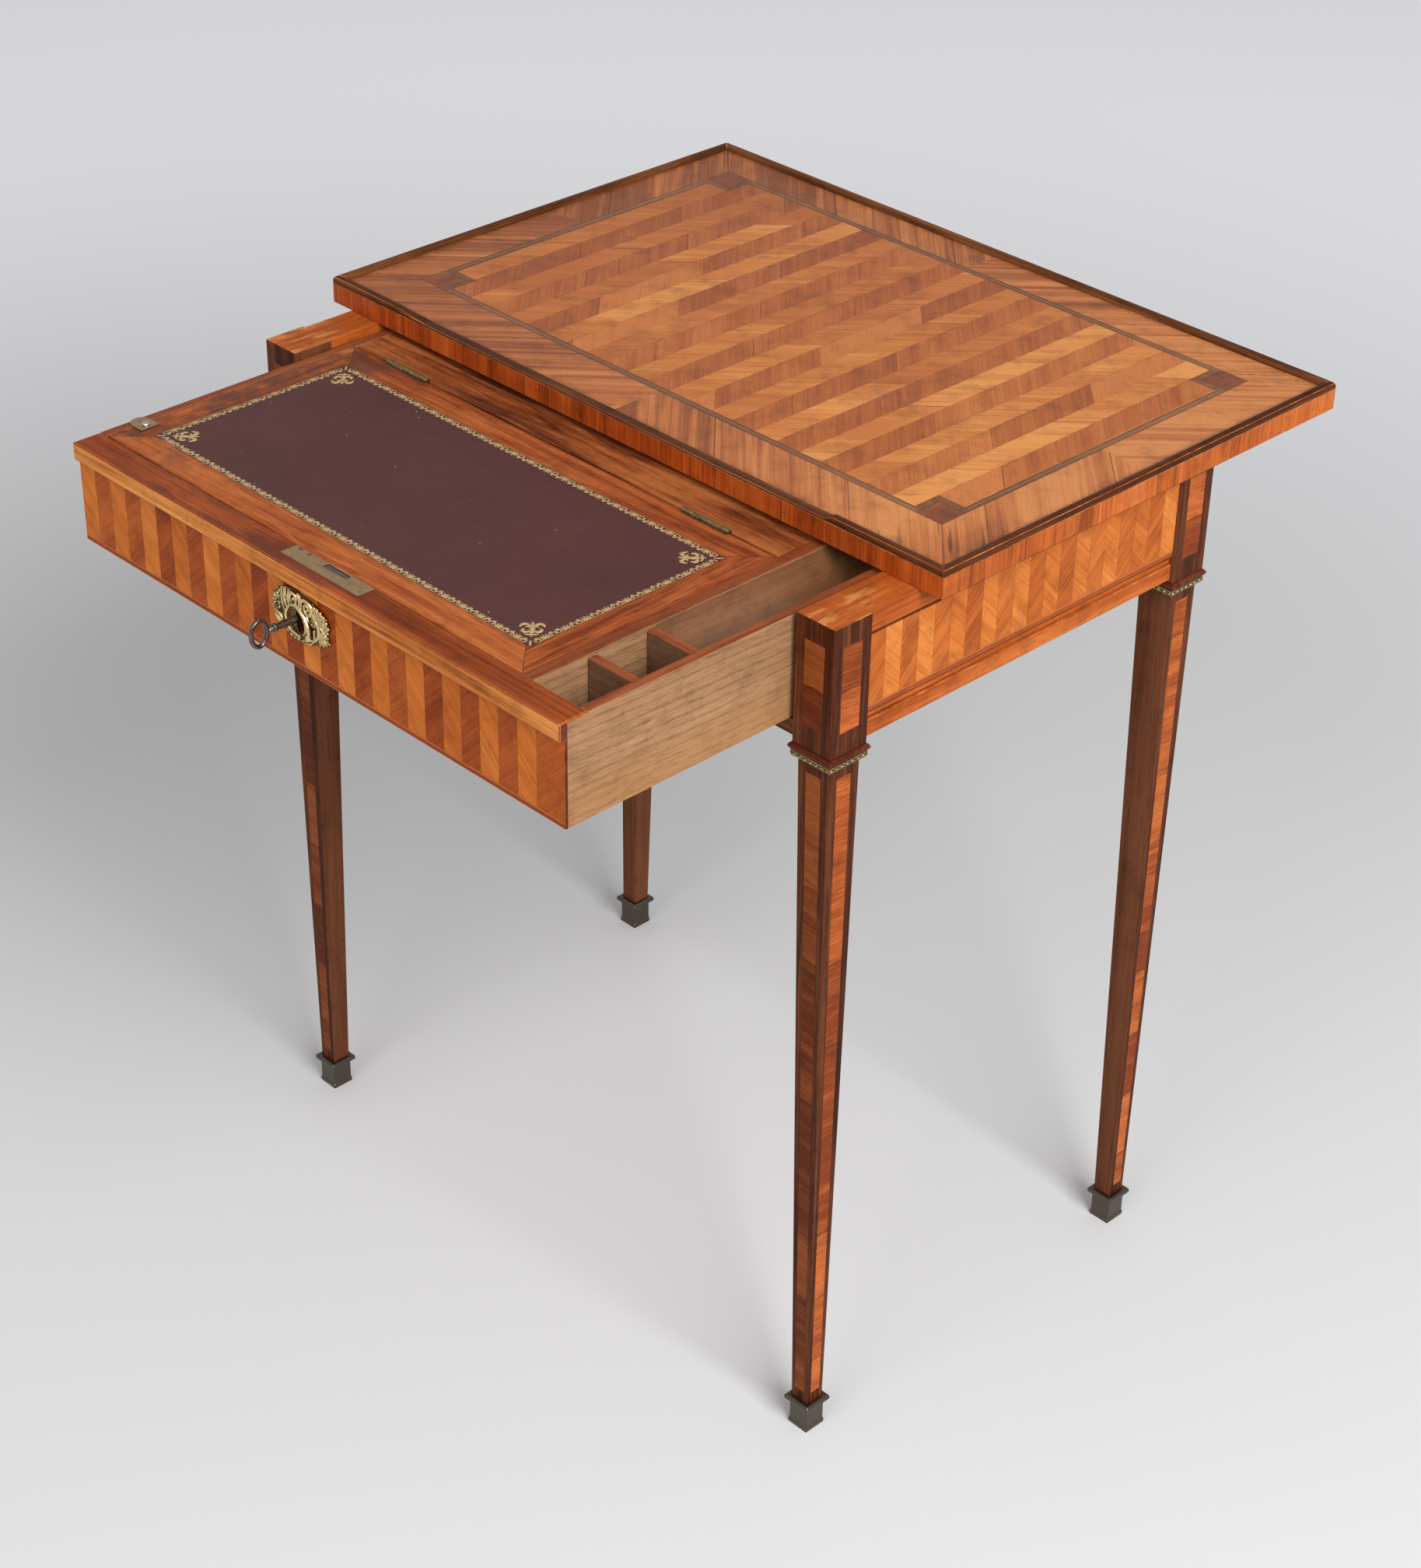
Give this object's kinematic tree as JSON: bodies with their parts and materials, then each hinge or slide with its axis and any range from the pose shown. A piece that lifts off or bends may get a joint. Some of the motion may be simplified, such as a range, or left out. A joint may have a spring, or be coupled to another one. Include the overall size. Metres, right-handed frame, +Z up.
{
  "type": "writing table with sliding top and fitted drawer",
  "caption": "Small veneered writing table on tapered square legs, with a sliding top, a fitted drawer, a leather writing flap over a well, a pen tray and ink compartments.",
  "frame": {"origin": "on the floor, at the centre of the table's outline with the drawer out and the top back", "axes": "+X to the right of someone facing the drawer front, -Y towards that person, +Z up"},
  "size_m": [0.6434, 0.7532, 0.74],
  "materials": {
    "tulipwood": "polished veneer",
    "rosewood": "polished",
    "oak": "bare, aged",
    "leather": "gold tooled",
    "gilt_bronze": "gilt, worn",
    "dark_bronze": "dark patina",
    "brass": "aged",
    "iron": "darkened"
  },
  "bodies": {
    "frame": {"leg_fl": "rosewood", "leg_fr": "rosewood", "leg_bl": "rosewood", "leg_br": "rosewood", "moulding_fl": "rosewood", "moulding_fr": "rosewood", "moulding_bl": "rosewood", "moulding_br": "rosewood", "lower_rail_front": "rosewood", "collar_fl": "gilt_bronze", "collar_fr": "gilt_bronze", "collar_bl": "gilt_bronze", "collar_br": "gilt_bronze", "sabot_fl": "dark_bronze", "sabot_fr": "dark_bronze", "sabot_bl": "dark_bronze", "sabot_br": "dark_bronze", "apron_left": "tulipwood", "apron_right": "tulipwood", "apron_back": "tulipwood", "rail_cap_left": "tulipwood", "rail_cap_right": "tulipwood", "lower_rail_left": "tulipwood", "lower_rail_right": "tulipwood", "lower_rail_back": "tulipwood", "runner_left": "oak", "runner_right": "oak"},
    "top": {"top_board": "tulipwood", "rim_left": "rosewood", "rim_right": "rosewood", "rim_back": "rosewood", "rim_front": "rosewood", "batten_left": "oak", "batten_right": "oak", "keeper_plate": "brass"},
    "drawer": {"drawer_front": "tulipwood", "drawer_top_rail": "tulipwood", "well_back_board": "tulipwood", "tray_partition": "tulipwood", "drawer_side_left": "oak", "drawer_side_right": "oak", "drawer_back": "oak", "drawer_bottom": "oak", "ink_divider_front": "oak", "ink_divider_back": "oak", "pen_tray": "oak", "flap_ledge": "oak", "lock_case": "brass", "hinge_leaf_fixed_left": "brass", "hinge_leaf_fixed_right": "brass", "escutcheon": "gilt_bronze"},
    "flap": {"flap_panel": "tulipwood", "flap_leather": "leather", "hinge_leaf_moving_left": "brass", "hinge_leaf_moving_right": "brass", "catch_screw": "iron"},
    "catch": {"catch_plate": "brass"},
    "key": {"key": "iron"},
    "bolt": {"lock_bolt": "iron"}
  },
  "joints": [
    {"name": "top_slide", "type": "slide", "parent": "frame", "child": "top", "axis": [0, 1, 0], "range_m": [-0.09745, 0.01]},
    {"name": "drawer_slide", "type": "slide", "parent": "frame", "child": "drawer", "axis": [0, -1, 0], "range_m": [-0.1995, 0.025]},
    {"name": "flap_hinge", "type": "hinge", "parent": "drawer", "child": "flap", "pos_m": [0, -0.0843, 0.7136], "axis": [-1, 0, 0], "range_deg": [0, 95]},
    {"name": "catch_swivel", "type": "hinge", "parent": "flap", "child": "catch", "pos_m": [-0.2482, -0.2833, 0.713], "axis": [0, 0, 1], "range_deg": [0, 180]},
    {"name": "key_turn", "type": "hinge", "parent": "drawer", "child": "key", "pos_m": [-0.0052, -0.3329, 0.6756], "axis": [0, -1, 0], "range_deg": [0, 90]},
    {"name": "bolt_slide", "type": "slide", "parent": "drawer", "child": "bolt", "axis": [0, 0, 1], "range_m": [0, 0.008]}
  ],
  "couplings": [
    {"joint": "bolt_slide", "follows": "key_turn", "m_per_rad": 0.00509}
  ]
}
